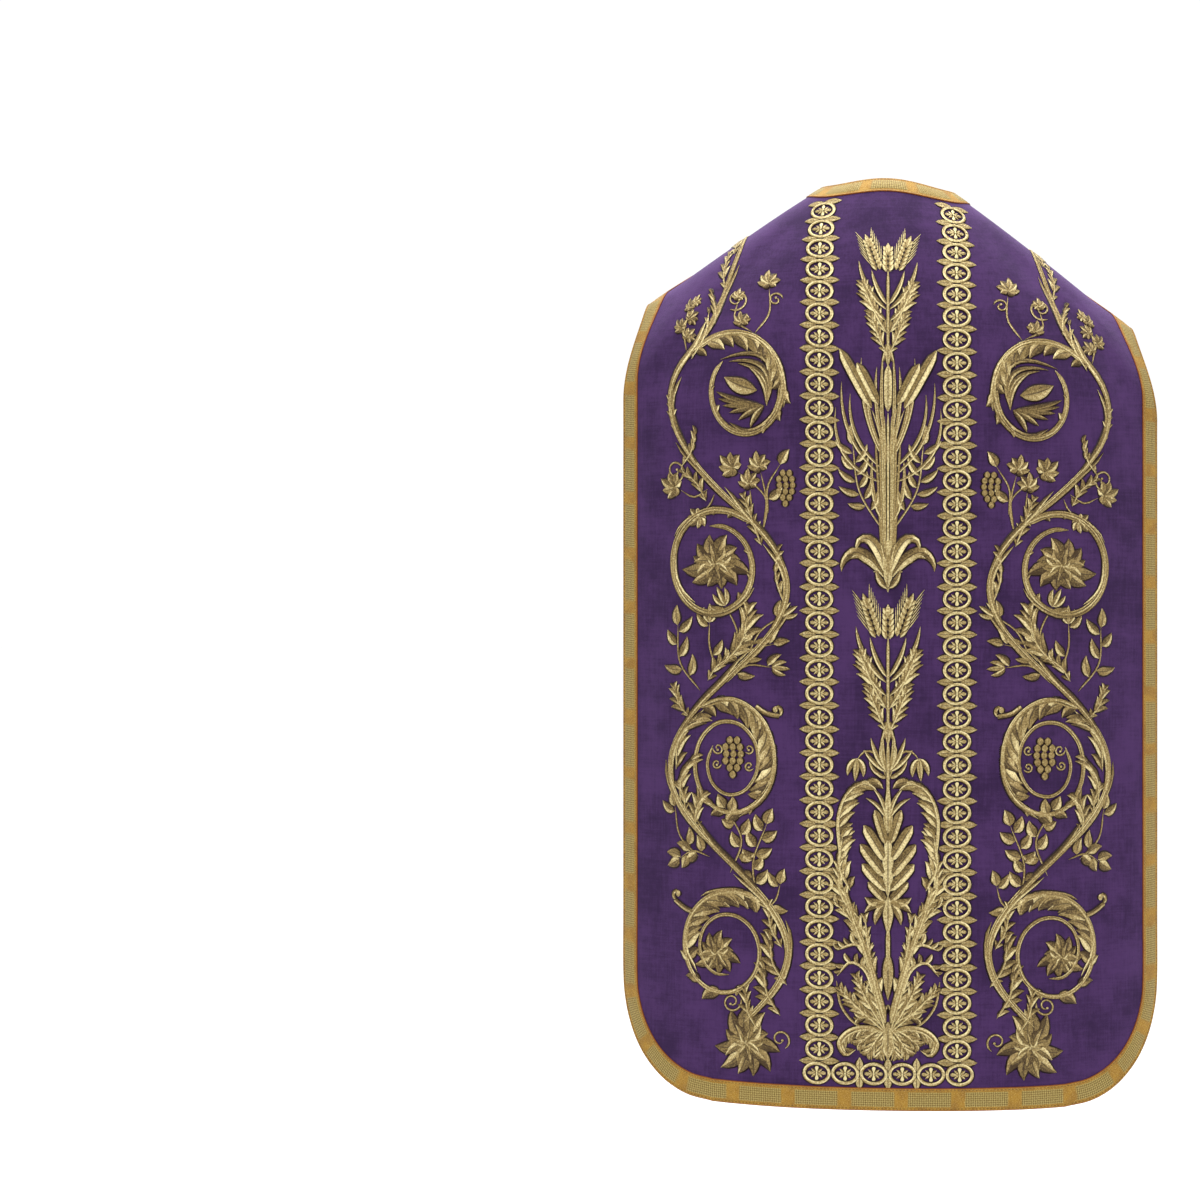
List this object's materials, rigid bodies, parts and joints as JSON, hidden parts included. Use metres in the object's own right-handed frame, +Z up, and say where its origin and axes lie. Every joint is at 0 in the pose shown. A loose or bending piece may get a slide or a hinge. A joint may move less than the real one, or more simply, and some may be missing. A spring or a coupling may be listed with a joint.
{
  "type": "roman chasuble",
  "caption": "Fiddleback chasuble in purple velvet, shaped as worn, with braided edges, open sides, a neck opening and gold scrollwork.",
  "frame": {"origin": "middle of the neck opening, level with the shoulders beside the neck, where the wearer carries the garment", "axes": "+Z up, the front faces -Y and the back +Y, +X towards the wearer's left"},
  "size_m": [0.6382, 0.2636, 1.0992],
  "materials": {
    "velvet": "dark purple cotton velvet, short even pile",
    "lining": "smooth purple lining silk",
    "gold_braid": "woven old-gold braid with paler figured blocks"
  },
  "bodies": {
    "root": {"back_panel": "velvet", "back_lining": "lining", "front_panel": "velvet", "braid_back_edge": "gold_braid", "braid_front_edge": "gold_braid", "braid_neck": "gold_braid", "braid_chest": "gold_braid"}
  },
  "joints": []
}
